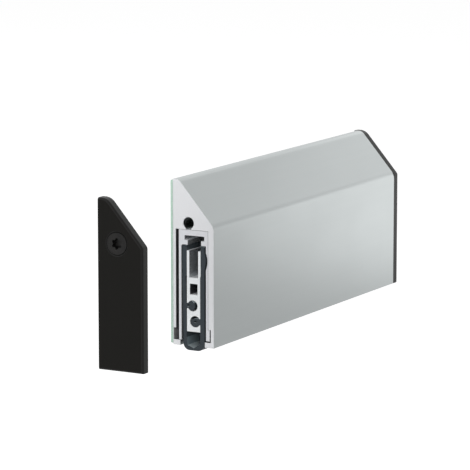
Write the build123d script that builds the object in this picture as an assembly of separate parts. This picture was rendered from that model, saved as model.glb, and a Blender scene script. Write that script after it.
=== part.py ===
from build123d import *
from math import cos, pi
import os

# Glue-on automatic drop-down door seal, in millimetres.
# X runs along the door's foot, from the open end (-X) to the actuator end (+X).
# Y = 0 is the door face that the tape sticks to, and the room is on the -Y side.
# Sections are drawn with two distances: "out" from the door face, and "up" from the profile's foot.

# Layers outwards from the door face
tape_thickness = 1.0
back_wall = 1.15
housing_back_gap = 1.15
housing_back_wall = 1.0
seal_running_gap = 0.2
back_arm_thickness = 1.83
carrier_width = 5.4
front_arm_thickness = 1.47
front_running_gap = 0.8
housing_front_wall = 0.8
front_wall = 2.25

# Clearances that many pieces share
fit_clearance = 0.05
travel_clearance = 0.3
block_clearance = 0.2
neck_clearance = 0.65

# Levels upwards from the profile's foot
carrier_bottom_up = 5.1
lower_key_radius = 2.0
key_floor = 1.6
key_web = 1.5
upper_key_radius = 1.95
port_web = 2.0
wire_port_height = 3.8
channel_web = 2.1
channel_depth = 9.4
block_gap = 0.5
mechanism_room = 2.05
slot_lip = 1.6
slot_head_height = 1.65
slot_web = 1.9
housing_fit = 0.1
shoulder_rise = 1.5
slope_height = 15.8

# Outer profile
profile_length = 140.0
ridge_flat = 2.3
ridge_radius = 3.0
shoulder_radius = 4.2
lip_height = 1.9
back_lip_reach = 1.7
front_lip_reach = 1.35
pocket_depth = 0.9
pocket_height = 4.1
recess_depth = 1.0
recess_height = 4.5
port_depth = 6.2
port_rise = 2.3
port_radius = 2.05
port_neck_width = 2.1
tape_margin = 0.5

# Inner housing that holds the mechanism
slot_offset = 0.45
slot_head_width = 7.7
slot_neck_width = 5.25
room_corner_radius = 0.8
hook_side_gap = 0.4
hook_foot_gap = 0.45
bead_relief_depth = 0.6
bead_height = 6.0

# Carrier that drops
carrier_step = 0.18
channel_width = 3.5
wire_port_width = 3.0
upper_key_offset = 0.48
upper_mouth_height = 1.9
lower_key_offset = 0.52
lower_mouth_height = 2.2

# Rubber seal around the carrier
seal_end_gap = 0.3
nose_depth = 6.6
nose_skin = 0.85
floor_back_rise = 1.8
floor_front_rise = 2.4
back_arm_rise = 1.75
front_arm_rise = 1.75
back_arm_thin = 1.25
arm_step_rise = 0.5
back_arm_foot_lean = 0.4
heel_rise = 4.5
front_heel_thickness = 1.7
back_nose_radius = 2.4
front_nose_radius = 2.6
bead_depth = 0.45
bead_below_tip = 5.0
key_slack = 0.15
upper_key_relief = 0.95
lower_key_relief = 0.7
key_hole_length = 1.3
key_hole_height = 0.75
upper_hole_offset = 1.6
lower_hole_offset = 0.15
back_tip_radius = 1.0
front_tip_radius = 0.35

# End caps and their screws
cap_thickness = 3.5
cap_edge_radius = 0.8
cap_ridge_radius = 4.5
cap_shoulder_radius = 1.6
front_cap_distance = 44.2
rib_clearance = 0.25
rib_height = 18.0
rib_bottom_up = 12.0
rib_depth = 3.0
screw_length = 10.0
screw_head_radius = 3.8
screw_thread_gap = 0.2
screw_hole_gap = 0.4
screw_tip = 1.0
screw_sink = 0.15
screw_rim = 0.25
star_inner_radius = 1.38
star_lobe_radius = 0.38
star_lobe_place = 1.6
star_depth = 1.5

# Spring mechanism
drop_travel = 10.0
spring_sag = 3.0
spring_thickness = 0.6
spring_side_gap = 0.1
spring_end_length = 8.0
fork_roof = 0.8
fork_jaw = 1.0
fork_end_gap = 1.5
fixed_block_inset = 12.5
grub_room = 4.0
grub_radius = 1.25
grub_inset = 1.9
rod_room = 9.0
rod_radius = 1.5
rod_grip = 5.0
rod_pin_radius = 0.6
guide_inset = 7.0
guide_gap = 1.5
guide_length = 5.0
guide_clearance = 0.2
saddle_length = 12.0
saddle_gap = 0.1
saddle_pin_radius = 0.75
saddle_pin_rise = 1.6
rivet_radius = 0.6
rivet_head_radius = 1.15
rivet_head_height = 0.5
rivet_foot_gap = 0.25

# Actuator button on the rod's end
stem_bore_end_gap = 0.5
stem_hole_clearance = 0.3
button_flats = 5.5
button_thickness = 3.0
button_edge_radius = 0.6

# Section stations outwards from the door face
profile_back = tape_thickness
cavity_back = profile_back + back_wall
housing_back = cavity_back + housing_back_gap
housing_inner_back = housing_back + housing_back_wall
seal_back = housing_inner_back + seal_running_gap
carrier_back = seal_back + back_arm_thickness
channel_out = carrier_back + carrier_width / 2
slot_out = channel_out + slot_offset
carrier_front = carrier_back + carrier_width
carrier_low_front = carrier_front - carrier_step
seal_front = carrier_front + front_arm_thickness
housing_inner_front = seal_front + front_running_gap
housing_front = housing_inner_front + housing_front_wall
cavity_front = housing_front + fit_clearance
profile_front = cavity_front + front_wall
port_out = profile_back + port_depth
upper_key_out = channel_out - upper_key_offset
lower_key_out = channel_out + lower_key_offset

# Section stations upwards from the profile's foot
lower_key_up = carrier_bottom_up + key_floor + lower_key_radius
upper_key_up = lower_key_up + lower_key_radius + key_web + upper_key_radius
wire_port_up = upper_key_up + upper_key_radius + port_web
channel_floor_up = wire_port_up + wire_port_height + channel_web
carrier_top_up = channel_floor_up + channel_depth
block_underside_up = carrier_top_up + block_gap
lips_up = carrier_top_up + mechanism_room
slot_shelf_up = lips_up + slot_lip
slot_roof_up = slot_shelf_up + slot_head_height
housing_top_up = slot_roof_up + slot_web
cavity_top_up = housing_top_up + housing_fit
port_up = cavity_top_up + port_rise
shoulder_up = cavity_top_up + shoulder_rise
profile_height = shoulder_up + slope_height
housing_bottom_up = lip_height + housing_fit
hook_bottom_up = lip_height + hook_foot_gap
hook_top_up = lip_height + recess_height - housing_fit
nose_up = carrier_bottom_up - nose_depth
back_arm_top_up = carrier_top_up + back_arm_rise
front_arm_top_up = carrier_top_up + front_arm_rise
arm_step_up = channel_floor_up + arm_step_rise
bead_up = front_arm_top_up - bead_below_tip

# Mechanism levels and sizes that follow from the section
slider_neck_width = slot_neck_width - 2 * neck_clearance
rod_up = (block_underside_up + slot_roof_up - block_clearance) / 2
fork_slot_height = spring_thickness + travel_clearance
fork_top_up = block_underside_up - fork_roof
fork_bottom_up = fork_top_up - fork_slot_height
lug_bottom_up = fork_bottom_up - fork_jaw
lug_width = channel_width - 2 * travel_clearance
spring_width = lug_width - 2 * spring_side_gap
spring_end_up = (fork_top_up + fork_bottom_up) / 2
spring_middle_up = spring_end_up - spring_sag
saddle_top_up = spring_middle_up - spring_thickness / 2 - saddle_gap
saddle_pin_up = channel_floor_up + saddle_pin_rise
rivet_foot_up = saddle_pin_up + saddle_pin_radius + fit_clearance + rivet_foot_gap
stem_radius = slot_roof_up - travel_clearance - rod_up
stem_bore_radius = rod_radius + guide_clearance
rib_thickness = housing_back_gap - 2 * rib_clearance
screw_core_radius = port_radius - screw_thread_gap
screw_hole_radius = port_radius + screw_hole_gap

# Stations along the length
fixed_block_length = grub_room + spring_end_length
moving_block_length = spring_end_length + rod_room
near_x = -profile_length / 2
far_x = profile_length / 2
guide_x = far_x - guide_inset - guide_length
moving_block_end_x = guide_x - guide_gap
moving_mouth_x = moving_block_end_x - moving_block_length
fixed_block_x = near_x + fixed_block_inset
fixed_mouth_x = fixed_block_x + fixed_block_length
spring_chord = moving_mouth_x - fixed_mouth_x
spring_middle_x = (moving_mouth_x + fixed_mouth_x) / 2

# The spring's wave shortens by this much as its middle drops
push_travel = pi**2 * drop_travel * (drop_travel + 2 * spring_sag) / (4 * spring_chord)

# Stations along the length that leave room for the push
stem_x = guide_x + guide_length + push_travel + travel_clearance
cap_face_x = far_x + cap_thickness
button_x = cap_face_x + push_travel + travel_clearance
rod_start_x = moving_block_end_x - rod_grip
stem_bore_end_x = button_x + button_thickness / 2
front_cap_x = near_x - front_cap_distance


def height(up):
    """Z of a height above the profile's foot: Z = 0 is half way up the tape."""
    return up - profile_height / 2


def across(x):
    """Plane of a cross-section at x: local X is out from the door face, local Y is up."""
    return Plane(origin=(x, 0, height(0)), x_dir=(0, -1, 0), z_dir=(-1, 0, 0))


def bar(section, x_start, x_end):
    """A straight piece of one section between two stations along the length."""
    return extrude(across(x_end) * section, amount=x_end - x_start)


def patch(out_low, out_high, up_low, up_high):
    """A rectangle in the section."""
    centre = Pos((out_low + out_high) / 2, (up_low + up_high) / 2)
    return centre * Rectangle(out_high - out_low, up_high - up_low)


def strip(width, up_low, up_high, middle):
    """A rectangle with its middle at a distance from the door face."""
    return patch(middle - width / 2, middle + width / 2, up_low, up_high)


def disc(radius, out, up):
    """A circle in the section."""
    return Pos(out, up) * Circle(radius)


def bulge(depth, out, up):
    """A shallow lens that stands out from a face by a depth, as high as the rubber's side bead."""
    radius = ((bead_height / 2) ** 2 + depth**2) / (2 * depth)
    side = patch(out - fit_clearance, profile_front, up - bead_height, up + bead_height)
    return disc(radius, out + depth - radius, up) & side


def rod(radius, x_start, x_end, out=slot_out, up=rod_up):
    """A round bar along the length."""
    return bar(disc(radius, out, up), x_start, x_end)


def post(radius, x, up_low, up_high, middle):
    """A round bar that stands upright in the channel or the slot."""
    foot = Plane(origin=(x, -middle, height(up_low)), z_dir=(0, 0, 1))
    return extrude(foot * Circle(radius), amount=up_high - up_low)


def cross_pin(radius, x, up, out_low, out_high):
    """A round bar across the section, from the door side outwards."""
    start = Plane(origin=(x, -out_low, height(up)), z_dir=(0, -1, 0))
    return extrude(start * Circle(radius), amount=out_high - out_low)


def rounded(section, out, up, radius):
    """The section with the corner nearest to one point rounded."""
    corner = section.vertices().sort_by_distance((out, up, 0))[0]
    return fillet(corner, radius)


def sloped_outline(back, top_radius, side_radius):
    """The profile's outer shape: a flat ridge, a long slope and a straight front."""
    ridge = profile_back + ridge_flat
    outline = make_face(
        Polyline(
            (back, 0),
            (profile_front, 0),
            (profile_front, shoulder_up),
            (ridge, profile_height),
            (back, profile_height),
            close=True,
        )
    )
    outline = rounded(outline, profile_front, shoulder_up, side_radius)
    return rounded(outline, ridge, profile_height, top_radius)


def make_outer_profile():
    """Extruded outer profile with the housing's cavity, the foot's mouth and the screw port."""
    cavity = patch(cavity_back, cavity_front, lip_height, cavity_top_up)
    pocket = patch(cavity_back - pocket_depth, cavity_back, lip_height, lip_height + pocket_height)
    recess = patch(cavity_front, cavity_front + recess_depth, lip_height, lip_height + recess_height)
    mouth = patch(cavity_back + back_lip_reach, cavity_front - front_lip_reach, 0, lip_height)
    neck = patch(port_out - port_neck_width / 2, port_out + port_neck_width / 2, cavity_top_up, port_up)
    port = disc(port_radius, port_out, port_up)
    outline = sloped_outline(profile_back, ridge_radius, shoulder_radius)
    return bar(outline - [cavity, pocket, recess, mouth, neck, port], near_x, far_x)


def make_adhesive_tape():
    """Double-sided tape over the profile's back."""
    return bar(patch(0, tape_thickness, tape_margin, profile_height - tape_margin), near_x, far_x)


def make_seal_housing():
    """Extruded inner housing: two thin walls under a block with a T-slot, hooked at its front foot."""
    walls = patch(housing_back, housing_front, housing_bottom_up, housing_top_up)
    room = patch(housing_inner_back, housing_inner_front, housing_bottom_up, lips_up)
    room = rounded(room, housing_inner_back, lips_up, room_corner_radius)
    slot_head = strip(slot_head_width, slot_shelf_up, slot_roof_up, slot_out)
    slot_neck = strip(slot_neck_width, lips_up, slot_shelf_up, slot_out)
    below_hook = patch(housing_inner_front, housing_front, housing_bottom_up, hook_bottom_up)
    hook_front = cavity_front + recess_depth - hook_side_gap
    hook = patch(housing_inner_front, hook_front, hook_bottom_up, hook_top_up)
    relief = bulge(bead_relief_depth, housing_inner_front, bead_up)
    section = walls + hook - [room, slot_head, slot_neck, below_hook, relief]
    return bar(section, near_x, far_x)


def make_seal_carrier():
    """Extruded carrier: spring channel above, wire port, and two key grooves for the rubber."""
    body = patch(carrier_back, carrier_front, carrier_bottom_up, carrier_top_up)
    step = patch(carrier_low_front, carrier_front, carrier_bottom_up, arm_step_up)
    channel = strip(channel_width, channel_floor_up, carrier_top_up, channel_out)
    wire_port = strip(wire_port_width, wire_port_up, wire_port_up + wire_port_height, channel_out)
    upper_groove = disc(upper_key_radius, upper_key_out, upper_key_up)
    upper_mouth = patch(
        carrier_back,
        upper_key_out,
        upper_key_up - upper_mouth_height / 2,
        upper_key_up + upper_mouth_height / 2,
    )
    lower_groove = disc(lower_key_radius, lower_key_out, lower_key_up)
    lower_mouth = patch(
        lower_key_out,
        carrier_front,
        lower_key_up - lower_mouth_height / 2,
        lower_key_up + lower_mouth_height / 2,
    )
    section = body - [step, channel, wire_port, upper_groove, upper_mouth, lower_groove, lower_mouth]
    carrier = bar(section, near_x + seal_end_gap, far_x - seal_end_gap)
    pin_hole = cross_pin(
        saddle_pin_radius + fit_clearance, spring_middle_x, saddle_pin_up, carrier_back, carrier_front
    )
    return carrier - pin_hole


def make_rubber_seal():
    """Extruded rubber seal: two arms, two keys in the carrier, a side bead and a round nose."""
    heel_back = seal_back + back_arm_foot_lean
    heel_inner = heel_back + back_arm_thin
    heel_up = nose_up + heel_rise
    heel_front = seal_front - front_heel_thickness
    thin_back = seal_back + back_arm_thin
    section = make_face(
        Polyline(
            (seal_back, back_arm_top_up),
            (seal_back, arm_step_up),
            (heel_back, heel_up),
            (heel_back, nose_up),
            (seal_front, nose_up),
            (seal_front, front_arm_top_up),
            (carrier_front, front_arm_top_up),
            (carrier_front, arm_step_up),
            (carrier_low_front, arm_step_up),
            (carrier_low_front, carrier_bottom_up),
            (heel_front, carrier_bottom_up),
            (heel_front, nose_up + floor_front_rise),
            (channel_out, nose_up + nose_skin),
            (heel_inner + back_arm_foot_lean, nose_up + floor_back_rise),
            (heel_inner, heel_up),
            (thin_back, arm_step_up),
            (carrier_back, arm_step_up),
            (carrier_back, back_arm_top_up),
            close=True,
        )
    )
    section = rounded(section, heel_back, nose_up, back_nose_radius)
    section = rounded(section, seal_front, nose_up, front_nose_radius)
    section = rounded(section, seal_back, back_arm_top_up, back_tip_radius)
    section = rounded(section, seal_front, front_arm_top_up, front_tip_radius)
    section += bulge(bead_depth, seal_front, bead_up)

    upper_stem = patch(
        seal_back + back_arm_thin / 2,
        upper_key_out,
        upper_key_up - upper_mouth_height / 2 + fit_clearance,
        upper_key_up + upper_mouth_height / 2 - fit_clearance,
    )
    upper_bead_radius = upper_key_radius - key_slack
    upper_bead = disc(upper_bead_radius, upper_key_out, upper_key_up)
    upper_bead &= disc(upper_bead_radius, upper_key_out - upper_key_relief, upper_key_up)
    lower_stem = patch(
        lower_key_out,
        carrier_front,
        lower_key_up - lower_mouth_height / 2 + fit_clearance,
        lower_key_up + lower_mouth_height / 2 - fit_clearance,
    )
    lower_bead_radius = lower_key_radius - key_slack
    lower_bead = disc(lower_bead_radius, lower_key_out, lower_key_up)
    lower_bead &= disc(lower_bead_radius, lower_key_out, lower_key_up - lower_key_relief)
    section += upper_stem + upper_bead + lower_stem + lower_bead
    hole = SlotOverall(key_hole_length, key_hole_height)
    section -= Pos(upper_key_out - upper_hole_offset, upper_key_up) * hole
    section -= Pos(lower_key_out + lower_hole_offset, lower_key_up) * hole
    return bar(section, near_x + seal_end_gap, far_x - seal_end_gap)


def countersink(radius_out, radius_in, x_face, direction):
    """A 90-degree cone on the screw port's axis, from its wide end at x_face inwards."""
    depth = radius_out - radius_in
    mouth = Plane(origin=(x_face, -port_out, height(port_up)), z_dir=(direction, 0, 0))
    return mouth * Cone(radius_out, radius_in, depth, align=(Align.CENTER, Align.CENTER, Align.MIN))


def make_end_cap(x_inner, direction):
    """End cap whose inner face lies at x_inner. Direction is +1 for the far end and -1 for the near one."""
    x_outer = x_inner + direction * cap_thickness
    outline = sloped_outline(0, cap_ridge_radius, cap_shoulder_radius)
    plate = bar(outline, min(x_inner, x_outer), max(x_inner, x_outer))
    face = plate.faces().sort_by(Axis.X)[-1 if direction > 0 else 0]
    sharp = face.edges().filter_by_position(Axis.Y, -fit_clearance, fit_clearance)
    plate = fillet(face.edges() - sharp, cap_edge_radius)
    plate -= rod(screw_hole_radius, x_inner - cap_thickness, x_inner + cap_thickness, port_out, port_up)
    mouth_radius = screw_head_radius + screw_sink + screw_rim + fit_clearance
    plate -= countersink(mouth_radius, screw_hole_radius, x_outer, -direction)
    rib_middle = cavity_back + housing_back_gap / 2
    rib = patch(
        rib_middle - rib_thickness / 2,
        rib_middle + rib_thickness / 2,
        rib_bottom_up,
        rib_bottom_up + rib_height,
    )
    rib_tip = x_inner - direction * rib_depth
    return plate + bar(rib, min(x_inner, rib_tip), max(x_inner, rib_tip))


def make_rear_end_cap():
    """The far end's cap, with a hole for the button's stem."""
    return make_end_cap(far_x, 1) - rod(stem_radius + stem_hole_clearance, far_x, cap_face_x)


def make_cap_screw(x_face, direction):
    """Countersunk screw with a six-lobed socket, driven in from the cap's face at x_face."""
    x_head = x_face - direction * screw_sink
    x_tip = x_head - direction * screw_length
    x_core_end = x_tip + direction * screw_tip
    x_cone = x_head - direction * screw_rim
    head = rod(screw_head_radius, min(x_head, x_cone), max(x_head, x_cone), port_out, port_up)
    head += countersink(screw_head_radius, screw_core_radius, x_cone, -direction)
    core = rod(screw_core_radius, min(x_cone, x_core_end), max(x_cone, x_core_end), port_out, port_up)
    tip_plane = Plane(origin=(x_core_end, -port_out, height(port_up)), z_dir=(-direction, 0, 0))
    tip = Cone(
        screw_core_radius,
        screw_core_radius - screw_tip / 2,
        screw_tip,
        align=(Align.CENTER, Align.CENTER, Align.MIN),
    )
    star = Circle(star_inner_radius) + PolarLocations(star_lobe_place, 6) * Circle(star_lobe_radius)
    socket = extrude(
        Plane(origin=(x_head, -port_out, height(port_up)), z_dir=(-direction, 0, 0)) * star,
        amount=star_depth,
    )
    return head + core + tip_plane * tip - socket


def slider_section():
    """The T that runs in the housing's slot: a head on the shelf and a neck below it."""
    head = strip(
        slot_head_width - 2 * block_clearance,
        slot_shelf_up + block_clearance,
        slot_roof_up - block_clearance,
        slot_out,
    )
    neck = strip(slider_neck_width, block_underside_up, slot_shelf_up + block_clearance, slot_out)
    return head + neck


def lug_with_fork(x_start, x_end, slot_start, slot_end):
    """The lug below a sliding block, with the open slot that takes the spring's end."""
    lug = bar(strip(lug_width, lug_bottom_up, block_underside_up, channel_out), x_start, x_end)
    return lug - bar(strip(lug_width, fork_bottom_up, fork_top_up, channel_out), slot_start, slot_end)


def make_fixed_block():
    """Block clamped in the housing's slot near the open end, holding the spring's first end."""
    fork_start = fixed_mouth_x - spring_end_length
    block = bar(slider_section(), fixed_block_x, fixed_mouth_x)
    block += lug_with_fork(fork_start - travel_clearance, fixed_mouth_x, fork_start, fixed_mouth_x)
    bore_x = fixed_block_x + grub_inset
    bore = post(grub_radius + fit_clearance, bore_x, block_underside_up, slot_roof_up, slot_out)
    return block - bore


def make_fixed_block_screw():
    """Grub screw that jams the fixed block against the slot's roof."""
    x = fixed_block_x + grub_inset
    foot_up = block_underside_up + travel_clearance
    screw = post(grub_radius, x, foot_up, slot_roof_up, slot_out)
    socket_plane = Plane(origin=(x, -slot_out, height(foot_up)), z_dir=(0, 0, 1))
    return screw - extrude(socket_plane * RegularPolygon(grub_radius / 2, 6), amount=grub_radius)


def make_moving_block():
    """Block that the push rod slides towards the fixed one, holding the spring's second end."""
    block = bar(slider_section(), moving_mouth_x, moving_block_end_x)
    fork_end = moving_mouth_x + spring_end_length + push_travel + fork_end_gap
    block += lug_with_fork(moving_mouth_x, moving_block_end_x, moving_mouth_x, fork_end)
    block -= rod(rod_radius, rod_start_x, moving_block_end_x)
    return block - make_push_rod_pin()


def make_push_rod_pin():
    """Pin across the moving block and the push rod."""
    half = slider_neck_width / 2
    x = moving_block_end_x - rod_grip / 2
    return cross_pin(rod_pin_radius, x, rod_up, slot_out - half, slot_out + half)


def make_push_rod():
    """Steel rod from the moving block to the button."""
    return rod(rod_radius, rod_start_x, stem_bore_end_x - stem_bore_end_gap) - make_push_rod_pin()


def make_rod_guide():
    """Plastic guide in the slot that carries the push rod."""
    guide = bar(slider_section(), guide_x, guide_x + guide_length)
    return guide - rod(rod_radius + guide_clearance, guide_x, guide_x + guide_length)


def make_push_button():
    """Button screwed on the rod's end: a stem through the cap and a six-sided head to turn it by."""
    head_section = Pos(slot_out, rod_up) * RegularPolygon(button_flats / 2, 6, major_radius=False)
    head = bar(head_section, button_x, button_x + button_thickness)
    head = fillet(head.faces().sort_by(Axis.X)[-1].edges(), button_edge_radius)
    stem = rod(stem_radius, stem_x, button_x)
    return head + stem - rod(stem_bore_radius, stem_x, stem_bore_end_x)


def spring_line(up_offset):
    """The spring's wave between its clamped ends, as a smooth curve with level tangents."""
    steps = 12
    points = []
    for step in range(steps + 1):
        share = step / steps
        sag = spring_sag / 2 * (1 - cos(2 * pi * share))
        points.append((fixed_mouth_x + share * spring_chord, height(spring_end_up + up_offset - sag)))
    return Spline(points, tangents=[(1, 0), (1, 0)])


def make_leaf_spring():
    """Bowed strip of spring steel: flat ends in the two forks, and its middle over the saddle."""
    half = spring_thickness / 2
    left = fixed_mouth_x - spring_end_length + travel_clearance
    right = moving_mouth_x + spring_end_length
    top = height(spring_end_up + half)
    bottom = height(spring_end_up - half)
    edge = [
        Line((left, top), (fixed_mouth_x, top)),
        spring_line(half),
        Line((moving_mouth_x, top), (right, top)),
        Line((right, top), (right, bottom)),
        Line((right, bottom), (moving_mouth_x, bottom)),
        spring_line(-half),
        Line((fixed_mouth_x, bottom), (left, bottom)),
        Line((left, bottom), (left, top)),
    ]
    side = Plane(origin=(0, spring_width / 2 - channel_out, 0), x_dir=(1, 0, 0), z_dir=(0, -1, 0))
    strip_solid = extrude(side * make_face(Curve() + edge), amount=spring_width)
    hole = post(
        rivet_radius + block_clearance,
        spring_middle_x,
        spring_middle_up - spring_thickness,
        spring_middle_up + spring_thickness,
        channel_out,
    )
    return strip_solid - hole


def make_spring_saddle():
    """Block pinned in the carrier's channel, on which the spring's middle is riveted."""
    width = channel_width - 2 * fit_clearance
    saddle = bar(
        strip(width, channel_floor_up, saddle_top_up, channel_out),
        spring_middle_x - saddle_length / 2,
        spring_middle_x + saddle_length / 2,
    )
    saddle -= post(rivet_radius, spring_middle_x, rivet_foot_up, saddle_top_up, channel_out)
    return saddle - cross_pin(
        saddle_pin_radius + fit_clearance, spring_middle_x, saddle_pin_up, carrier_back, carrier_front
    )


def make_saddle_pin():
    """Pin through the carrier's walls and the saddle."""
    return cross_pin(
        saddle_pin_radius,
        spring_middle_x,
        saddle_pin_up,
        carrier_back + fit_clearance,
        carrier_front - fit_clearance,
    )


def make_saddle_rivet():
    """Rivet through the spring's middle into the saddle."""
    head_up = spring_middle_up + spring_thickness / 2 + saddle_gap
    shank = post(rivet_radius, spring_middle_x, rivet_foot_up, head_up, channel_out)
    head = post(rivet_head_radius, spring_middle_x, head_up, head_up + rivet_head_height, channel_out)
    return shank + fillet(head.edges().sort_by(Axis.Z)[-1], rivet_head_height / 2)


nodes = {
    "outer_profile": make_outer_profile(),
    "adhesive_tape": make_adhesive_tape(),
    "seal_housing": make_seal_housing(),
    "seal_carrier": make_seal_carrier(),
    "rubber_seal": make_rubber_seal(),
    "front_end_cap": make_end_cap(front_cap_x, -1),
    "front_cap_screw": make_cap_screw(front_cap_x - cap_thickness, -1),
    "rear_end_cap": make_rear_end_cap(),
    "rear_cap_screw": make_cap_screw(cap_face_x, 1),
    "fixed_block": make_fixed_block(),
    "fixed_block_screw": make_fixed_block_screw(),
    "moving_block": make_moving_block(),
    "push_rod": make_push_rod(),
    "push_rod_pin": make_push_rod_pin(),
    "rod_guide": make_rod_guide(),
    "push_button": make_push_button(),
    "leaf_spring": make_leaf_spring(),
    "spring_saddle": make_spring_saddle(),
    "saddle_pin": make_saddle_pin(),
    "saddle_rivet": make_saddle_rivet(),
}

os.makedirs("parts", exist_ok=True)
for name, shape in nodes.items():
    export_step(shape, f"parts/{name}.step")
    print(f"{name}: {shape.volume:.1f} mm3")
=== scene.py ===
from math import atan2, cos, pi, radians

import bmesh
import bpy
from mathutils import Matrix, Vector


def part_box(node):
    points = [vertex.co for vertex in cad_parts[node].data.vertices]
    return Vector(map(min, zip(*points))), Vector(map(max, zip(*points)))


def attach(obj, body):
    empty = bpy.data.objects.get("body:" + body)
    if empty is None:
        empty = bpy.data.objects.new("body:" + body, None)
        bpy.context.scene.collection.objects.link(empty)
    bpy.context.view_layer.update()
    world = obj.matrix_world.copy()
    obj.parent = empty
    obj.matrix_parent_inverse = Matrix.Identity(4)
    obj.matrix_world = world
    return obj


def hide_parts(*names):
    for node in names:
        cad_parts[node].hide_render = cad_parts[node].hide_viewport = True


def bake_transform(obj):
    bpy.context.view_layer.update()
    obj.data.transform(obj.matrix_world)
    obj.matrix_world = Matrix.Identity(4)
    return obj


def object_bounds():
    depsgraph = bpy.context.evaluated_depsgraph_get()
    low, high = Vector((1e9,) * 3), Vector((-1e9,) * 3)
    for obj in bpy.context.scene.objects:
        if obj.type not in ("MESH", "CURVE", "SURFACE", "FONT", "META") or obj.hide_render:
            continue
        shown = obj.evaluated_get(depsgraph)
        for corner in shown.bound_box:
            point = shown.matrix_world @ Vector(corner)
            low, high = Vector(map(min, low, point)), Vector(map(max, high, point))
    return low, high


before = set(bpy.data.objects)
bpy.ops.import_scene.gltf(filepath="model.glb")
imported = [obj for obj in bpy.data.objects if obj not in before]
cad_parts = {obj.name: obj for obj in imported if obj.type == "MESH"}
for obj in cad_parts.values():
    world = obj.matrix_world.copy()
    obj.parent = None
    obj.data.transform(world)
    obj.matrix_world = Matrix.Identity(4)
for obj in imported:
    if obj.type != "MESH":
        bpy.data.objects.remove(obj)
cad_low, cad_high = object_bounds()

MM = 0.001
FRAME_PIXELS = 470

# The photograph's camera, found by fitting the profile's and the cap's edges
CAMERA_AZIMUTH = radians(-60.996)
CAMERA_ELEVATION = radians(9.683)
CAMERA_PLACE = Vector((-969.44, -524.07, 186.86)) * MM
FOCAL_PIXELS = 3067.0
SENSOR_WIDTH = 36.0

# The floor lies well below the part, which hangs on a door
FLOOR_DROP = 62 * MM
FLOOR_SIZE = 8.0

# Where the background's brightness in the metal turns from its room level to its full level:
# by the reflected ray's own Y and Z for the world, and by the place's Y for the floor
SKY_TURN = (-0.55, 0.15)
CEILING_TURN = (0.05, 0.55)
FLOOR_TURN = (-0.22, 0.05)

# What the lamps face: the section's open end, its top, and the part's middle
OPEN_END = (-0.07, -0.01, 0)
OPEN_TOP = (-0.02, -0.01, 0)
MIDDLE = (0, -0.01, 0)

# The M4 cap screw with a size 20 six-lobed socket
SOCKET_POINTS = 72
SOCKET_WAIST = 1.38 * MM
SOCKET_LOBE = 1.98 * MM
SOCKET_DEPTH = 1.9 * MM
SOCKET_DRAFT = 0.94
HEAD_EDGE = 0.12 * MM
HEAD_RIM = 0.25 * MM
CORE_RADIUS = 1.62 * MM
CREST_RADIUS = 1.92 * MM
THREAD_PITCH = 0.7 * MM
THREAD_SUNK = 0.05 * MM
THREAD_STEPS = 24
THREAD_CREST = (0.42, 0.52)
THREAD_FOOT = 0.94
LOBE_SHARPNESS = 0.8
TIP_LENGTH = 1.0 * MM

# The bowed spring
SPRING_THICKNESS = 0.6 * MM
SPRING_STEPS = 96

# Windows in the section, in the frame's Y and Z: the carrier's square port above its floor, which takes
# painted shade, the rubber's hollow nose above its floor, which takes painted light, and the wall of the
# profile's hook pocket, which takes painted shade
PORT_SHADE_WINDOW = ((-10.6 * MM, -7.5 * MM), (-10.8 * MM, -7.0 * MM))
NOSE_LIGHT_WINDOW = ((-11.6 * MM, -6.2 * MM), (-28.5 * MM, -24.0 * MM))
POCKET_SHADE_WINDOW = ((-1.3 * MM, -1.2 * MM), (-27.0 * MM, -23.1 * MM))

# Faces that lie across the length, faces that look up, which can take painted light, and edges that are sharp
# enough to be eased
ACROSS = 0.99
LOOKS_UP = 0.5
EDGE_ANGLE = radians(28)

# Loose triangles are merged within this distance, and joined where they are this flat
MERGE_DISTANCE = 0.0005 * MM
FLAT_ANGLE = radians(0.3)


# Shader graph helpers


def new_node(tree, kind, settings=None, **inputs):
    """A shader node with its settings and constant inputs. Underscores in input names stand for spaces."""
    node = tree.nodes.new(kind)
    for name, value in (settings or {}).items():
        setattr(node, name, value)
    for name, value in inputs.items():
        node.inputs[name.replace("_", " ")].default_value = value
    return node


def wire(tree, source, output, target, entry):
    """Joins one node's output to another's input."""
    tree.links.new(source.outputs[output], target.inputs[entry])


def new_group(name, inputs, outputs):
    """An empty shader group with float sockets, its input node and its output node."""
    group = bpy.data.node_groups.new(name, "ShaderNodeTree")
    for label, value in inputs.items():
        socket = group.interface.new_socket(label, in_out="INPUT", socket_type="NodeSocketFloat")
        socket.default_value = value
    for label in outputs:
        group.interface.new_socket(label, in_out="OUTPUT", socket_type="NodeSocketFloat")
    return group, group.nodes.new("NodeGroupInput"), group.nodes.new("NodeGroupOutput")


def place_group(tree, group, **inputs):
    """One use of a group in a material, with its own values."""
    node = tree.nodes.new("ShaderNodeGroup")
    node.node_tree = group
    for name, value in inputs.items():
        node.inputs[name.replace("_", " ")].default_value = value
    return node


def stretched_noise(tree, scale, detail, fineness=None):
    """Noise on the piece's own coordinates, stretched by a different scale on each axis."""
    place = new_node(tree, "ShaderNodeTexCoord")
    stretch = new_node(tree, "ShaderNodeMapping")
    stretch.inputs["Scale"].default_value = scale
    noise = new_node(tree, "ShaderNodeTexNoise", Scale=1.0, Detail=detail, Roughness=0.55)
    wire(tree, place, "Object", stretch, "Vector")
    wire(tree, stretch, "Vector", noise, "Vector")
    if fineness is not None:
        wire(tree, fineness, "Fineness", noise, "Scale")
    return noise


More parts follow.
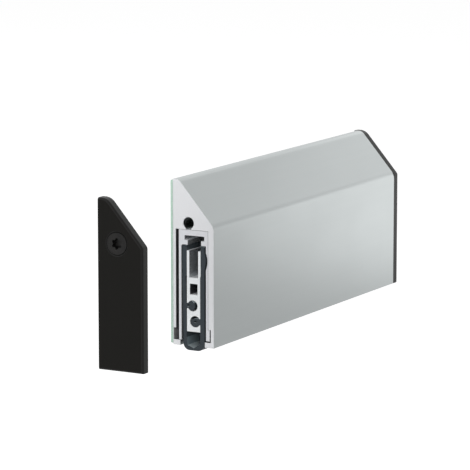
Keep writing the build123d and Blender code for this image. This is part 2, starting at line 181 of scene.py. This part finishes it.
def extrusion_lines_group():
    """Die lines that run along an extrusion: fine ones, and broad ones that barely show."""
    group, entry, result = new_group("extrusion_lines", {"Fineness": 1.0, "Broad Share": 0.35}, ["Lines"])
    fine = stretched_noise(group, (5, 4200, 4200), 2.0, entry)
    broad = stretched_noise(group, (2, 520, 520), 1.0, entry)
    mix = new_node(group, "ShaderNodeMix")
    wire(group, entry, "Broad Share", mix, "Factor")
    wire(group, fine, "Fac", mix, "A")
    wire(group, broad, "Fac", mix, "B")
    wire(group, mix, "Result", result, "Lines")
    return group


def handling_group():
    """Faint patches left by handling and packing."""
    group, entry, result = new_group("handling", {"Fineness": 1.0}, ["Patches"])
    cloud = stretched_noise(group, (38, 38, 60), 4.0, entry)
    spread = new_node(group, "ShaderNodeMapRange", From_Min=0.35, From_Max=0.65)
    wire(group, cloud, "Fac", spread, "Value")
    wire(group, spread, "Result", result, "Patches")
    return group


def saw_marks_group():
    """Slightly bent lines that a saw leaves on a cut end, over a fine torn grain."""
    group, entry, result = new_group("saw_marks", {"Pitch": 900.0, "Grain Share": 0.4}, ["Marks"])
    place = new_node(group, "ShaderNodeTexCoord")
    turn = new_node(group, "ShaderNodeMapping")
    turn.inputs["Rotation"].default_value = (radians(24), 0, 0)
    wave = new_node(
        group,
        "ShaderNodeTexWave",
        {"bands_direction": "Z"},
        Distortion=1.6,
        Detail=2.0,
        Detail_Scale=0.4,
    )
    grain = stretched_noise(group, (3000, 9000, 2600), 3.0)
    mix = new_node(group, "ShaderNodeMix")
    wire(group, place, "Object", turn, "Vector")
    wire(group, turn, "Vector", wave, "Vector")
    wire(group, entry, "Pitch", wave, "Scale")
    wire(group, entry, "Grain Share", mix, "Factor")
    wire(group, wave, "Fac", mix, "A")
    wire(group, grain, "Fac", mix, "B")
    wire(group, mix, "Result", result, "Marks")
    return group


def moulded_grain_group():
    """The fine spark-eroded grain of a moulded part."""
    group, entry, result = new_group("moulded_grain", {"Fineness": 1.0}, ["Grain"])
    grain = stretched_noise(group, (2600, 2600, 2600), 3.0, entry)
    wire(group, grain, "Fac", result, "Grain")
    return group


EXTRUSION_LINES = extrusion_lines_group()
HANDLING = handling_group()
SAW_MARKS = saw_marks_group()
MOULDED_GRAIN = moulded_grain_group()


def new_material(name, **constants):
    """A material with one Principled shader and its constant inputs."""
    material = bpy.data.materials.new(name)
    material.use_nodes = True
    tree = material.node_tree
    tree.nodes.clear()
    shader = new_node(tree, "ShaderNodeBsdfPrincipled", **constants)
    output = tree.nodes.new("ShaderNodeOutputMaterial")
    wire(tree, shader, "BSDF", output, "Surface")
    return material, tree, shader


def tone(tree, shader, source, output, dark, light):
    """Colours the shader between two tones by a mask."""
    mix = new_node(tree, "ShaderNodeMix", {"data_type": "RGBA"})
    mix.inputs["A"].default_value = (*dark, 1)
    mix.inputs["B"].default_value = (*light, 1)
    tree.links.new(source.outputs[output], mix.inputs["Factor"])
    tree.links.new(mix.outputs["Result"], shader.inputs["Base Color"])


def gloss(tree, shader, source, output, low, high):
    """Varies the shader's roughness between two values by a mask."""
    spread = new_node(tree, "ShaderNodeMapRange", To_Min=low, To_Max=high)
    wire(tree, source, output, spread, "Value")
    wire(tree, spread, "Result", shader, "Roughness")


def relief(tree, shader, source, output, depth, strength=1.0):
    """Raises the surface by a mask, to a depth in metres."""
    bump = new_node(tree, "ShaderNodeBump", Strength=strength, Distance=depth)
    wire(tree, source, output, bump, "Height")
    wire(tree, bump, "Normal", shader, "Normal")


def extruded_aluminium(name, dark, light, rough_low, rough_high, line_depth, metallic=1.0):
    """Extruded aluminium with die lines along its length and faint handling patches."""
    material, tree, shader = new_material(name, Metallic=metallic)
    lines = place_group(tree, EXTRUSION_LINES)
    patches = place_group(tree, HANDLING)
    tone(tree, shader, lines, "Lines", dark, light)
    gloss(tree, shader, patches, "Patches", rough_low, rough_high)
    relief(tree, shader, lines, "Lines", line_depth)
    return material


def sawn_aluminium(name, dark, light, roughness):
    """The bright sawn end of an extrusion."""
    material, tree, shader = new_material(name, Metallic=0.55)
    marks = place_group(tree, SAW_MARKS)
    tone(tree, shader, marks, "Marks", dark, light)
    gloss(tree, shader, marks, "Marks", roughness - 0.06, roughness + 0.06)
    relief(tree, shader, marks, "Marks", 0.004 * MM)
    return material


def moulded_plastic(name, dark, light, rough_low, rough_high, grain_depth, fineness=1.0, gleam=0.5):
    """Moulded plastic with a fine grain."""
    material, tree, shader = new_material(name, Specular_IOR_Level=gleam)
    grain = place_group(tree, MOULDED_GRAIN, Fineness=fineness)
    patches = place_group(tree, HANDLING, Fineness=0.8)
    tone(tree, shader, grain, "Grain", dark, light)
    gloss(tree, shader, patches, "Patches", rough_low, rough_high)
    relief(tree, shader, grain, "Grain", grain_depth)
    return material


def extruded_rubber():
    """Matt slate rubber with soft die lines and a faint bloom."""
    material, tree, shader = new_material("slate_rubber")
    lines = place_group(tree, EXTRUSION_LINES, Fineness=0.6, Broad_Share=0.6)
    patches = place_group(tree, HANDLING, Fineness=1.6)
    tone(tree, shader, patches, "Patches", (0.048, 0.060, 0.067), (0.062, 0.075, 0.083))
    gloss(tree, shader, lines, "Lines", 0.48, 0.62)
    relief(tree, shader, lines, "Lines", 0.012 * MM)
    return material


def painted_light_and_shade(name, dark, light, metallic):
    """Painted light and painted shade for faces inside an extrusion: each use gives a flat colour, mottled by
    faint patches, for the brightness that light and shade give that place.
    """
    material, tree, shader = new_material(name, Metallic=metallic)
    patches = place_group(tree, HANDLING, Fineness=12.0)
    tone(tree, shader, patches, "Patches", dark, light)
    gloss(tree, shader, patches, "Patches", 0.5, 0.7)
    relief(tree, shader, patches, "Patches", 0.01 * MM)
    return material


def cut_rubber():
    """The cut end of the rubber, a little paler and more matt than its skin."""
    material, tree, shader = new_material("cut_rubber")
    marks = place_group(tree, SAW_MARKS, Pitch=1400.0, Grain_Share=0.8)
    tone(tree, shader, marks, "Marks", (0.025, 0.033, 0.041), (0.036, 0.047, 0.056))
    gloss(tree, shader, marks, "Marks", 0.62, 0.74)
    relief(tree, shader, marks, "Marks", 0.010 * MM)
    return material


def foam_tape():
    """Pale acrylic foam tape with small closed bubbles."""
    material, tree, shader = new_material(
        "foam_tape",
        Subsurface_Weight=0.35,
        Subsurface_Scale=0.6 * MM,
        IOR=1.46,
    )
    shader.inputs["Subsurface Radius"].default_value = (1.0, 1.0, 0.9)
    place = new_node(tree, "ShaderNodeTexCoord")
    bubbles = new_node(tree, "ShaderNodeTexVoronoi", Scale=1500.0)
    wire(tree, place, "Object", bubbles, "Vector")
    tone(tree, shader, bubbles, "Distance", (0.48, 0.66, 0.56), (0.56, 0.73, 0.63))
    gloss(tree, shader, bubbles, "Distance", 0.32, 0.46)
    relief(tree, shader, bubbles, "Distance", 0.03 * MM, 0.6)
    return material


def steel(name, dark, light, rough_low, rough_high, metallic=1.0):
    """Small drawn or turned steel pieces."""
    material, tree, shader = new_material(name, Metallic=metallic)
    lines = place_group(tree, EXTRUSION_LINES, Fineness=1.4, Broad_Share=0.2)
    patches = place_group(tree, HANDLING, Fineness=4.0)
    tone(tree, shader, patches, "Patches", dark, light)
    gloss(tree, shader, lines, "Lines", rough_low, rough_high)
    relief(tree, shader, lines, "Lines", 0.002 * MM)
    return material


finishes = {
    "profile_skin": extruded_aluminium(
        "satin_anodised", (0.535, 0.57, 0.57), (0.57, 0.60, 0.60), 0.33, 0.36, 0.002 * MM
    ),
    "profile_end": sawn_aluminium("sawn_profile", (0.81, 0.82, 0.84), (0.89, 0.90, 0.92), 0.42),
    "inner_skin": extruded_aluminium(
        "mill_finish", (0.70, 0.72, 0.74), (0.78, 0.80, 0.82), 0.14, 0.20, 0.003 * MM, metallic=0.82
    ),
    # painted shade: the walls inside the carrier's square port are coloured dark for the shade that falls in
    # it
    "painted_shade_port": extruded_aluminium(
        "port_painted_shade", (0.07, 0.07, 0.08), (0.11, 0.11, 0.12), 0.20, 0.28, 0.003 * MM, metallic=0.6
    ),
    "inner_end": sawn_aluminium("sawn_housing", (0.75, 0.76, 0.79), (0.84, 0.85, 0.88), 0.45),
    "carrier_end": sawn_aluminium("sawn_carrier", (0.90, 0.93, 0.95), (0.95, 0.97, 0.98), 0.45),
    # painted light: upward faces inside the housing and carrier are coloured pale for the light they catch
    "painted_light_upward": painted_light_and_shade("upward_aluminium_painted_light", (0.88, 0.90, 0.93), (0.95, 0.97, 0.98), 0.05),
    # painted shade: the wall of the profile's hook pocket is coloured dark for the shade in it
    "painted_shade_pocket": painted_light_and_shade("pocket_painted_shade", (0.22, 0.215, 0.22), (0.30, 0.295, 0.30), 0.1),
    "rubber_skin": extruded_rubber(),
    "rubber_end": cut_rubber(),
    # painted light: the walls inside the rubber's hollow nose are coloured paler for the light that reaches
    # them
    "painted_light_nose": painted_light_and_shade("nose_rubber_painted_light", (0.15, 0.19, 0.21), (0.19, 0.23, 0.25), 0.0),
    # painted light: the rubber's upward faces are coloured pale for the light they catch
    "painted_light_rubber_upward": painted_light_and_shade("upward_rubber_painted_light", (0.38, 0.44, 0.46), (0.48, 0.54, 0.56), 0.0),
    "tape": foam_tape(),
    "cap_face": moulded_plastic(
        "black_cap_face", (0.007, 0.0067, 0.0058), (0.012, 0.0115, 0.0103), 0.46, 0.56, 0.014 * MM, gleam=0.10
    ),
    "cap_edge": moulded_plastic(
        "black_cap_edge", (0.007, 0.007, 0.0065), (0.011, 0.0105, 0.010), 0.36, 0.44, 0.008 * MM, gleam=0.25
    ),
    "nylon": moulded_plastic(
        "dark_nylon", (0.030, 0.034, 0.038), (0.042, 0.046, 0.050), 0.42, 0.52, 0.010 * MM
    ),
    "button": moulded_plastic(
        "black_nylon", (0.016, 0.016, 0.016), (0.024, 0.024, 0.024), 0.30, 0.40, 0.006 * MM
    ),
    "black_screw": steel("black_oxide", (0.012, 0.012, 0.012), (0.022, 0.021, 0.020), 0.34, 0.46, 0.6),
    "bright_steel": steel("zinc_plate", (0.52, 0.53, 0.54), (0.62, 0.63, 0.64), 0.22, 0.34),
    "spring_steel": steel("tempered_steel", (0.22, 0.24, 0.28), (0.33, 0.34, 0.37), 0.20, 0.30),
}


# Pieces


def finish_piece(shape, name, body, materials, node=None):
    """Turns a bmesh into a piece that rides on its body and takes its materials."""
    mesh = bpy.data.meshes.new(name)
    shape.to_mesh(mesh)
    shape.free()
    piece = bpy.data.objects.new(name, mesh)
    bpy.context.scene.collection.objects.link(piece)
    for material in materials:
        mesh.materials.append(finishes[material])
    for polygon in mesh.polygons:
        polygon.use_smooth = True
    if body is not None:
        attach(piece, body)
    if node is not None:
        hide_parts(node)
    return piece


def ease_edges(piece, width, segments=2):
    """Rounds the sharp edges and keeps the flat faces flat."""
    bevel = piece.modifiers.new("eased_edges", "BEVEL")
    bevel.width = width
    bevel.segments = segments
    bevel.limit_method = "ANGLE"
    bevel.angle_limit = EDGE_ANGLE
    bevel.use_clamp_overlap = True
    bevel.miter_outer = "MITER_ARC"
    weights = piece.modifiers.new("flat_faces", "WEIGHTED_NORMAL")
    weights.keep_sharp = True
    weights.weight = 100


def joined_solid(node):
    """A CAD node's solid with its loose triangles merged and its flat faces joined up."""
    shape = bmesh.new()
    shape.from_mesh(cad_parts[node].data)
    bmesh.ops.remove_doubles(shape, verts=shape.verts, dist=MERGE_DISTANCE)
    bmesh.ops.dissolve_limit(shape, angle_limit=FLAT_ANGLE, verts=shape.verts, edges=shape.edges)
    return shape


def finished_node(node, name, body, materials, edge):
    """A rigid node with eased edges, its skin, its cut ends and, if a third is given, its upward faces, which
    take painted light.
    """
    shape = joined_solid(node)
    shape.normal_update()
    for face in shape.faces:
        if len(materials) > 1 and abs(face.normal.x) > ACROSS:
            face.material_index = 1
        elif len(materials) > 2 and face.normal.z > LOOKS_UP:
            face.material_index = 2
    piece = finish_piece(shape, name, body, materials, node)
    ease_edges(piece, edge)
    return piece


def refinish(piece, finish, window):
    """Gives another finish to the lengthwise faces whose middle lies in a window of the section: here painted
    shade or painted light for a hollow.
    """
    piece.data.materials.append(finishes[finish])
    fresh = len(piece.data.materials) - 1
    (across_low, across_high), (up_low, up_high) = window
    for face in piece.data.polygons:
        across = across_low < face.center.y < across_high
        up = up_low < face.center.z < up_high
        if across and up and abs(face.normal.x) < ACROSS:
            face.material_index = fresh


def extrusions():
    """The profile, the housing, the carrier and the rubber."""
    profile = finished_node(
        "outer_profile",
        "profile_extrusion",
        "root",
        ["profile_skin", "profile_end"],
        0.12 * MM,
    )
    # painted shade on the hook pocket's wall
    refinish(profile, "painted_shade_pocket", POCKET_SHADE_WINDOW)
    finished_node(
        "seal_housing",
        "housing_extrusion",
        "root",
        ["inner_skin", "inner_end", "painted_light_upward"],
        0.08 * MM,
    )
    carrier = finished_node(
        "seal_carrier",
        "carrier_extrusion",
        "drop_blade",
        ["inner_skin", "carrier_end", "painted_light_upward"],
        0.08 * MM,
    )
    # painted shade on the square port's walls
    refinish(carrier, "painted_shade_port", PORT_SHADE_WINDOW)
    rubber = finished_node(
        "rubber_seal",
        "rubber_extrusion",
        "drop_blade",
        ["rubber_skin", "rubber_end", "painted_light_rubber_upward"],
        0.10 * MM,
    )
    # painted light inside the hollow nose
    refinish(rubber, "painted_light_nose", NOSE_LIGHT_WINDOW)


def caps():
    """The loose front cap and the fitted rear cap."""
    skins = ["cap_edge", "cap_face"]
    finished_node("front_end_cap", "loose_cap_plate", "loose_cap", skins, 0.10 * MM)
    finished_node("rear_end_cap", "fitted_cap_plate", "root", skins, 0.10 * MM)


def mechanism():
    """The blocks, rod, guide, button, saddle and small pins."""
    for node, name, body, slot, material, edge in (
        ("fixed_block", "spring_anchor", "root", "slide_plastic", "nylon", 0.12 * MM),
        ("fixed_block_screw", "anchor_grub_screw", "root", "bright_steel", "bright_steel", 0.06 * MM),
        ("rod_guide", "rod_bearing", "root", "slide_plastic", "nylon", 0.12 * MM),
        ("moving_block", "spring_slider", "push_slider", "slide_plastic", "nylon", 0.12 * MM),
        ("push_rod", "actuator_rod", "push_slider", "bright_steel", "bright_steel", 0.15 * MM),
        ("push_rod_pin", "rod_cross_pin", "push_slider", "bright_steel", "bright_steel", 0.06 * MM),
        ("push_button", "actuator_button", "button", "button_plastic", "button", 0.12 * MM),
        ("spring_saddle", "spring_seat", "drop_blade", "slide_plastic", "nylon", 0.12 * MM),
        ("saddle_pin", "seat_pin", "drop_blade", "bright_steel", "bright_steel", 0.06 * MM),
        ("saddle_rivet", "spring_rivet", "drop_blade", "bright_steel", "bright_steel", 0.05 * MM),
    ):
        finished_node(node, name, body, [material], edge)


def tape():
    """The foam tape, squeezed a little at its free edges."""
    low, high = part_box("adhesive_tape")
    shape = bmesh.new()
    bmesh.ops.create_cube(shape, size=1.0)
    bmesh.ops.scale(shape, vec=high - low, verts=shape.verts)
    bmesh.ops.translate(shape, vec=(low + high) / 2, verts=shape.verts)
    piece = finish_piece(shape, "foam_tape_strip", "root", ["tape"], "adhesive_tape")
    ease_edges(piece, 0.25 * MM, 3)


def leaf_spring():
    """The bowed strip between the two blocks."""
    low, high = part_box("leaf_spring")
    anchor_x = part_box("fixed_block")[1].x
    slider_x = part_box("moving_block")[0].x
    rest_z = high.z - SPRING_THICKNESS
    sag = rest_z - low.z
    shape = bmesh.new()
    bmesh.ops.create_grid(shape, x_segments=SPRING_STEPS, y_segments=1, size=0.5)
    for vertex in shape.verts:
        x = low.x + (vertex.co.x + 0.5) * (high.x - low.x)
        y = low.y + (vertex.co.y + 0.5) * (high.y - low.y)
        share = min(max((x - anchor_x) / (slider_x - anchor_x), 0), 1)
        vertex.co = (x, y, rest_z - sag / 2 * (1 - cos(2 * pi * share)))
    lifted = bmesh.ops.extrude_face_region(shape, geom=shape.faces[:])
    top = [item for item in lifted["geom"] if isinstance(item, bmesh.types.BMVert)]
    bmesh.ops.translate(shape, vec=(0, 0, SPRING_THICKNESS), verts=top)
    bmesh.ops.recalc_face_normals(shape, faces=shape.faces)
    piece = finish_piece(shape, "bowed_spring", None, ["spring_steel"], "leaf_spring")
    ease_edges(piece, 0.08 * MM)
    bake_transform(piece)


def star_reach(angle):
    """How far a six-lobed socket reaches from its middle at an angle."""
    wave = (1 + cos(6 * angle)) / 2
    return SOCKET_WAIST + (SOCKET_LOBE - SOCKET_WAIST) * wave**LOBE_SHARPNESS


def cap_screw(node, name, body, direction):
    """A countersunk screw that faces along the length: six-lobed socket, cone, core and rolled thread."""
    low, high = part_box(node)
    centre = (low + high) / 2
    length = high.x - low.x
    head_radius = (high.z - low.z) / 2
    tip_start = length - TIP_LENGTH
    shape = bmesh.new()

    mouth_ring = bmesh.ops.create_circle(shape, segments=SOCKET_POINTS, radius=1.0)["verts"]
    for vertex in mouth_ring:
        angle = atan2(vertex.co.y, vertex.co.x)
        vertex.co *= star_reach(angle)
    mouth = list({edge for vertex in mouth_ring for edge in vertex.link_edges})
    rings = [
        (head_radius - HEAD_EDGE, 0),
        (head_radius, HEAD_EDGE),
        (head_radius, HEAD_RIM),
        (CORE_RADIUS, HEAD_RIM + head_radius - CORE_RADIUS),
        (CORE_RADIUS, tip_start),
        (CORE_RADIUS - TIP_LENGTH / 2, length),
    ]
    loop = mouth
    for radius, depth in rings:
        grown = bmesh.ops.extrude_edge_only(shape, edges=loop)["geom"]
        loop = [item for item in grown if isinstance(item, bmesh.types.BMEdge)]
        for vertex in (item for item in grown if isinstance(item, bmesh.types.BMVert)):
            flat = Vector((vertex.co.x, vertex.co.y, 0)).normalized() * radius
            vertex.co = (flat.x, flat.y, depth)
    bmesh.ops.contextual_create(shape, geom=loop)

    wall = bmesh.ops.extrude_edge_only(shape, edges=mouth)["geom"]
    for vertex in (item for item in wall if isinstance(item, bmesh.types.BMVert)):
        vertex.co = (vertex.co.x * SOCKET_DRAFT, vertex.co.y * SOCKET_DRAFT, SOCKET_DEPTH)
    bmesh.ops.contextual_create(shape, geom=[item for item in wall if isinstance(item, bmesh.types.BMEdge)])

    add_thread(shape, HEAD_RIM + head_radius - CORE_RADIUS + THREAD_PITCH, tip_start)
    bmesh.ops.recalc_face_normals(shape, faces=shape.faces)
    bmesh.ops.rotate(shape, cent=(0, 0, 0), matrix=Matrix.Rotation(pi / 2, 3, "Y"), verts=shape.verts)
    if direction > 0:
        bmesh.ops.rotate(shape, cent=(0, 0, 0), matrix=Matrix.Rotation(pi, 3, "Z"), verts=shape.verts)
    face_x = high.x if direction > 0 else low.x
    bmesh.ops.translate(shape, vec=(face_x, centre.y, centre.z), verts=shape.verts)
    piece = finish_piece(shape, name, body, ["black_screw"], node)
    piece.data.set_sharp_from_angle(angle=EDGE_ANGLE)


def add_thread(shape, start, end):
    """A rolled ridge wound round the screw's core."""
    root = CORE_RADIUS - THREAD_SUNK
    steps = int((end - start) / THREAD_PITCH * THREAD_STEPS)
    corners = [
        shape.verts.new((root, 0, start)),
        shape.verts.new((CREST_RADIUS, 0, start + THREAD_PITCH * THREAD_CREST[0])),
        shape.verts.new((CREST_RADIUS, 0, start + THREAD_PITCH * THREAD_CREST[1])),
        shape.verts.new((root, 0, start + THREAD_PITCH * THREAD_FOOT)),
    ]
    ridge = shape.faces.new(corners)
    bmesh.ops.spin(
        shape,
        geom=[ridge, *ridge.edges, *ridge.verts],
        cent=(0, 0, 0),
        axis=(0, 0, 1),
        dvec=(0, 0, THREAD_PITCH / THREAD_STEPS),
        angle=2 * pi * steps / THREAD_STEPS,
        steps=steps,
    )


extrusions()
caps()
mechanism()
tape()
leaf_spring()
cap_screw("front_cap_screw", "loose_cap_screw", "loose_cap", -1)
cap_screw("rear_cap_screw", "fitted_cap_screw", "root", 1)


# Studio


def camera():
    """The camera at the photograph's place and angle."""
    data = bpy.data.cameras.new("camera")
    data.sensor_width = SENSOR_WIDTH
    data.lens = FOCAL_PIXELS * SENSOR_WIDTH / FRAME_PIXELS
    data.clip_end = 100
    eye = bpy.data.objects.new("camera", data)
    eye.location = CAMERA_PLACE
    eye.rotation_euler = (pi / 2 - CAMERA_ELEVATION, 0, CAMERA_AZIMUTH)
    bpy.context.scene.collection.objects.link(eye)
    bpy.context.scene.camera = eye


def soft_lamp(name, place, target, width, height, radiance, mirrored):
    """A soft box of a given brightness that faces a target, mirrored in the metal or not."""
    data = bpy.data.lights.new(name, "AREA")
    data.shape = "RECTANGLE"
    data.size = width
    data.size_y = height
    data.energy = radiance * pi * width * height
    lamp = bpy.data.objects.new(name, data)
    lamp.location = place
    lamp.rotation_euler = (Vector(target) - Vector(place)).to_track_quat("-Z", "Y").to_euler()
    lamp.visible_camera = False
    lamp.visible_glossy = mirrored
    bpy.context.scene.collection.objects.link(lamp)


def background_rays(tree):
    """1 for the rays that see the background itself: camera, glossy and transmission rays."""
    path = tree.nodes.new("ShaderNodeLightPath")
    seen = new_node(tree, "ShaderNodeMath", {"operation": "MAXIMUM"})
    seen_all = new_node(tree, "ShaderNodeMath", {"operation": "MAXIMUM"})
    tree.links.new(path.outputs["Is Camera Ray"], seen.inputs[0])
    tree.links.new(path.outputs["Is Glossy Ray"], seen.inputs[1])
    tree.links.new(seen.outputs[0], seen_all.inputs[0])
    tree.links.new(path.outputs["Is Transmission Ray"], seen_all.inputs[1])
    return path, seen_all


def soft_side(tree, place, output, turn, dimmest, brightest):
    """The background's brightness in reflections: full behind the part, softer on the room's side."""
    split = new_node(tree, "ShaderNodeSeparateXYZ")
    spread = new_node(
        tree,
        "ShaderNodeMapRange",
        {"interpolation_type": "SMOOTHSTEP"},
        From_Min=turn[0],
        From_Max=turn[1],
        To_Min=dimmest,
        To_Max=brightest,
    )
    tree.links.new(place.outputs[output], split.inputs["Vector"])
    wire(tree, split, "Y", spread, "Value")
    return spread


def choose(tree, switch, switch_output, source, output, other):
    """A value that is the source's, or the other where the switch is 1."""
    mix = new_node(tree, "ShaderNodeMix")
    mix.inputs["B"].default_value = other
    tree.links.new(switch.outputs[switch_output], mix.inputs["Factor"])
    tree.links.new(source.outputs[output], mix.inputs["A"])
    return mix


def studio_world(diffuse_level, overhead_level, room_level):
    """A white horizon that grows softer overhead and towards the room, and plain diffuse light."""
    world = bpy.data.worlds.new("studio")
    bpy.context.scene.world = world
    world.use_nodes = True
    tree = world.node_tree
    tree.nodes.clear()
    path, seen = background_rays(tree)
    place = new_node(tree, "ShaderNodeTexCoord")
    height = new_node(tree, "ShaderNodeSeparateXYZ")
    ceiling = new_node(
        tree,
        "ShaderNodeMapRange",
        {"interpolation_type": "SMOOTHSTEP"},
        From_Min=CEILING_TURN[0],
        From_Max=CEILING_TURN[1],
        To_Min=1.0,
        To_Max=overhead_level,
    )
    wire(tree, place, "Generated", height, "Vector")
    wire(tree, height, "Z", ceiling, "Value")
    room = soft_side(tree, place, "Generated", SKY_TURN, room_level, 1.0)
    both = new_node(tree, "ShaderNodeMath", {"operation": "MULTIPLY"})
    tree.links.new(ceiling.outputs["Result"], both.inputs[0])
    tree.links.new(room.outputs["Result"], both.inputs[1])
    reflected = choose(tree, path, "Is Camera Ray", both, "Value", 1.0)
    level = new_node(tree, "ShaderNodeMapRange", To_Min=diffuse_level)
    wire(tree, seen, "Value", level, "Value")
    tree.links.new(reflected.outputs["Result"], level.inputs["To Max"])
    sky = new_node(tree, "ShaderNodeBackground")
    sky.inputs["Color"].default_value = (1, 1, 1, 1)
    output = tree.nodes.new("ShaderNodeOutputWorld")
    wire(tree, level, "Result", sky, "Strength")
    wire(tree, sky, "Background", output, "Surface")


def white_floor(paper, top_up, mirrored):
    """A white floor that keeps the part's soft shadow, and stays dim in the metal on the room's side."""
    shape = bmesh.new()
    bmesh.ops.create_grid(shape, x_segments=1, y_segments=1, size=FLOOR_SIZE)
    bmesh.ops.translate(shape, vec=(0, 0, cad_low.z - FLOOR_DROP), verts=shape.verts)
    mesh = bpy.data.meshes.new("floor")
    shape.to_mesh(mesh)
    shape.free()
    floor = bpy.data.objects.new("floor", mesh)
    bpy.context.scene.collection.objects.link(floor)
    material, tree, shader = new_material("floor_paper", Roughness=0.9, Specular_IOR_Level=0.0)
    shader.inputs["Base Color"].default_value = (paper, paper, paper, 1)
    shader.inputs["Emission Color"].default_value = (1, 1, 1, 1)
    path, seen = background_rays(tree)
    place = new_node(tree, "ShaderNodeTexCoord")
    room = soft_side(tree, place, "Object", FLOOR_TURN, 0.0, mirrored)
    shown = choose(tree, path, "Is Camera Ray", room, "Result", top_up)
    glow = new_node(tree, "ShaderNodeMath", {"operation": "MULTIPLY"})
    tree.links.new(seen.outputs["Value"], glow.inputs[0])
    tree.links.new(shown.outputs["Result"], glow.inputs[1])
    wire(tree, glow, "Value", shader, "Emission Strength")
    mesh.materials.append(material)


camera()
soft_lamp("key", (-1.1, -0.75, 0.75), OPEN_TOP, 0.7, 0.7, 1.5, False)
soft_lamp("front_right", (-1.25, -0.5, 0.3), OPEN_END, 0.8, 0.8, 1.65, False)
soft_lamp("front_left", (-1.35, 0.2, 0.35), OPEN_END, 0.8, 0.8, 1.45, False)
soft_lamp("end_low", (0.2067, -0.0852, 0), MIDDLE, 0.2, 0.1, 0.5, True)
soft_lamp("end_high", (0.2167, -0.0482, 0.03), MIDDLE, 0.2, 0.2, 0.29, True)
soft_lamp("over_end", (0.45, -0.2, 0.55), MIDDLE, 0.4, 0.4, 0.2, True)
soft_lamp("back", (0.1, 1.2, 0.6), (0, 0, 0), 0.8, 0.6, 1.6, False)
studio_world(0.55, 0.94, 0.50)
white_floor(0.75, 0.56, 0.19)
bpy.context.scene.view_settings.view_transform = "Standard"
